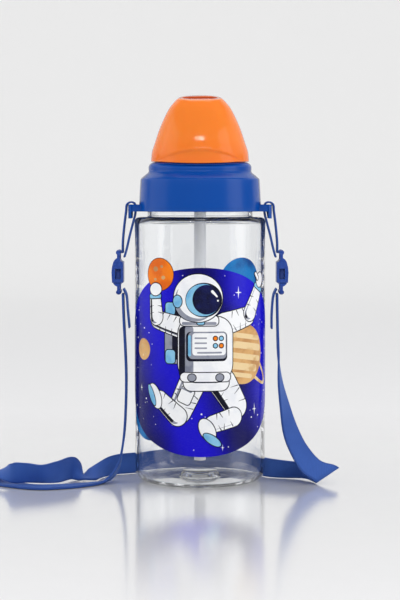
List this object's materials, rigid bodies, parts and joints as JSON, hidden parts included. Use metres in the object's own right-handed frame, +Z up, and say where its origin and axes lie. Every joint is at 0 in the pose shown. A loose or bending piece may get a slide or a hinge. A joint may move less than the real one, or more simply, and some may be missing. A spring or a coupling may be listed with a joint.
{
  "type": "kids water bottle",
  "caption": "Clear screw-neck drinking bottle with a blue lid, an orange snap dome over a straw spout, and a webbing strap on buckles.",
  "frame": {"origin": "on the floor, on the bottle's axis", "axes": "+Z up along the bottle's axis, -Y towards the printed front, +X towards the right-hand lug"},
  "size_m": [0.1893, 0.0767, 0.2064],
  "materials": {
    "clear_bottle": "clear moulded copolyester, polished",
    "blue_lid": "smooth satin polypropylene",
    "seal": "soft white silicone",
    "spout_silicone": "frosted silicone",
    "straw_grey": "translucent grey polyethylene",
    "orange_dome": "glossy slightly translucent polypropylene",
    "buckle_blue": "satin acetal",
    "webbing_blue": "flat woven polyester webbing"
  },
  "bodies": {
    "bottle": {"bottle_body": "clear_bottle"},
    "lid_seal": {"lid_gasket": "seal"},
    "lid": {"lid_shell": "blue_lid", "spout": "spout_silicone", "spout_collar": "blue_lid", "straw_adapter": "spout_silicone", "straw": "straw_grey", "air_valve": "seal", "buckle_plug_left": "buckle_blue", "buckle_plug_right": "buckle_blue", "strap_loop_left": "webbing_blue", "strap_loop_right": "webbing_blue", "strap_left_drop": "webbing_blue", "strap_left_return": "webbing_blue", "strap_back": "webbing_blue", "strap_right_rise": "webbing_blue", "strap_tail_left": "webbing_blue", "strap_tail_right": "webbing_blue"},
    "cap": {"cap_dome": "orange_dome"},
    "socket_left": {"buckle_socket_left": "buckle_blue"},
    "socket_right": {"buckle_socket_right": "buckle_blue"}
  },
  "joints": [
    {"name": "lid_lift", "type": "slide", "parent": "bottle", "child": "lid_seal", "axis": [0, 0, 1], "range_m": [0, 0.0051]},
    {"name": "lid_turn", "type": "hinge", "parent": "lid_seal", "child": "lid", "pos_m": [0, 0, 0.152], "axis": [0, 0, 1], "range_deg": [0, 450]},
    {"name": "cap_pull", "type": "slide", "parent": "lid", "child": "cap", "axis": [0, 0, 1], "range_m": [0, 0.04]},
    {"name": "buckle_release_left", "type": "slide", "parent": "lid", "child": "socket_left", "axis": [0, 0, 1], "range_m": [0, 0.008], "deforming": ["strap_loop_left"]},
    {"name": "buckle_release_right", "type": "slide", "parent": "lid", "child": "socket_right", "axis": [0, 0, 1], "range_m": [0, 0.008], "deforming": ["strap_loop_right"]}
  ],
  "couplings": [
    {"joint": "lid_lift", "follows": "lid_turn", "m_per_rad": 0.00063662}
  ]
}
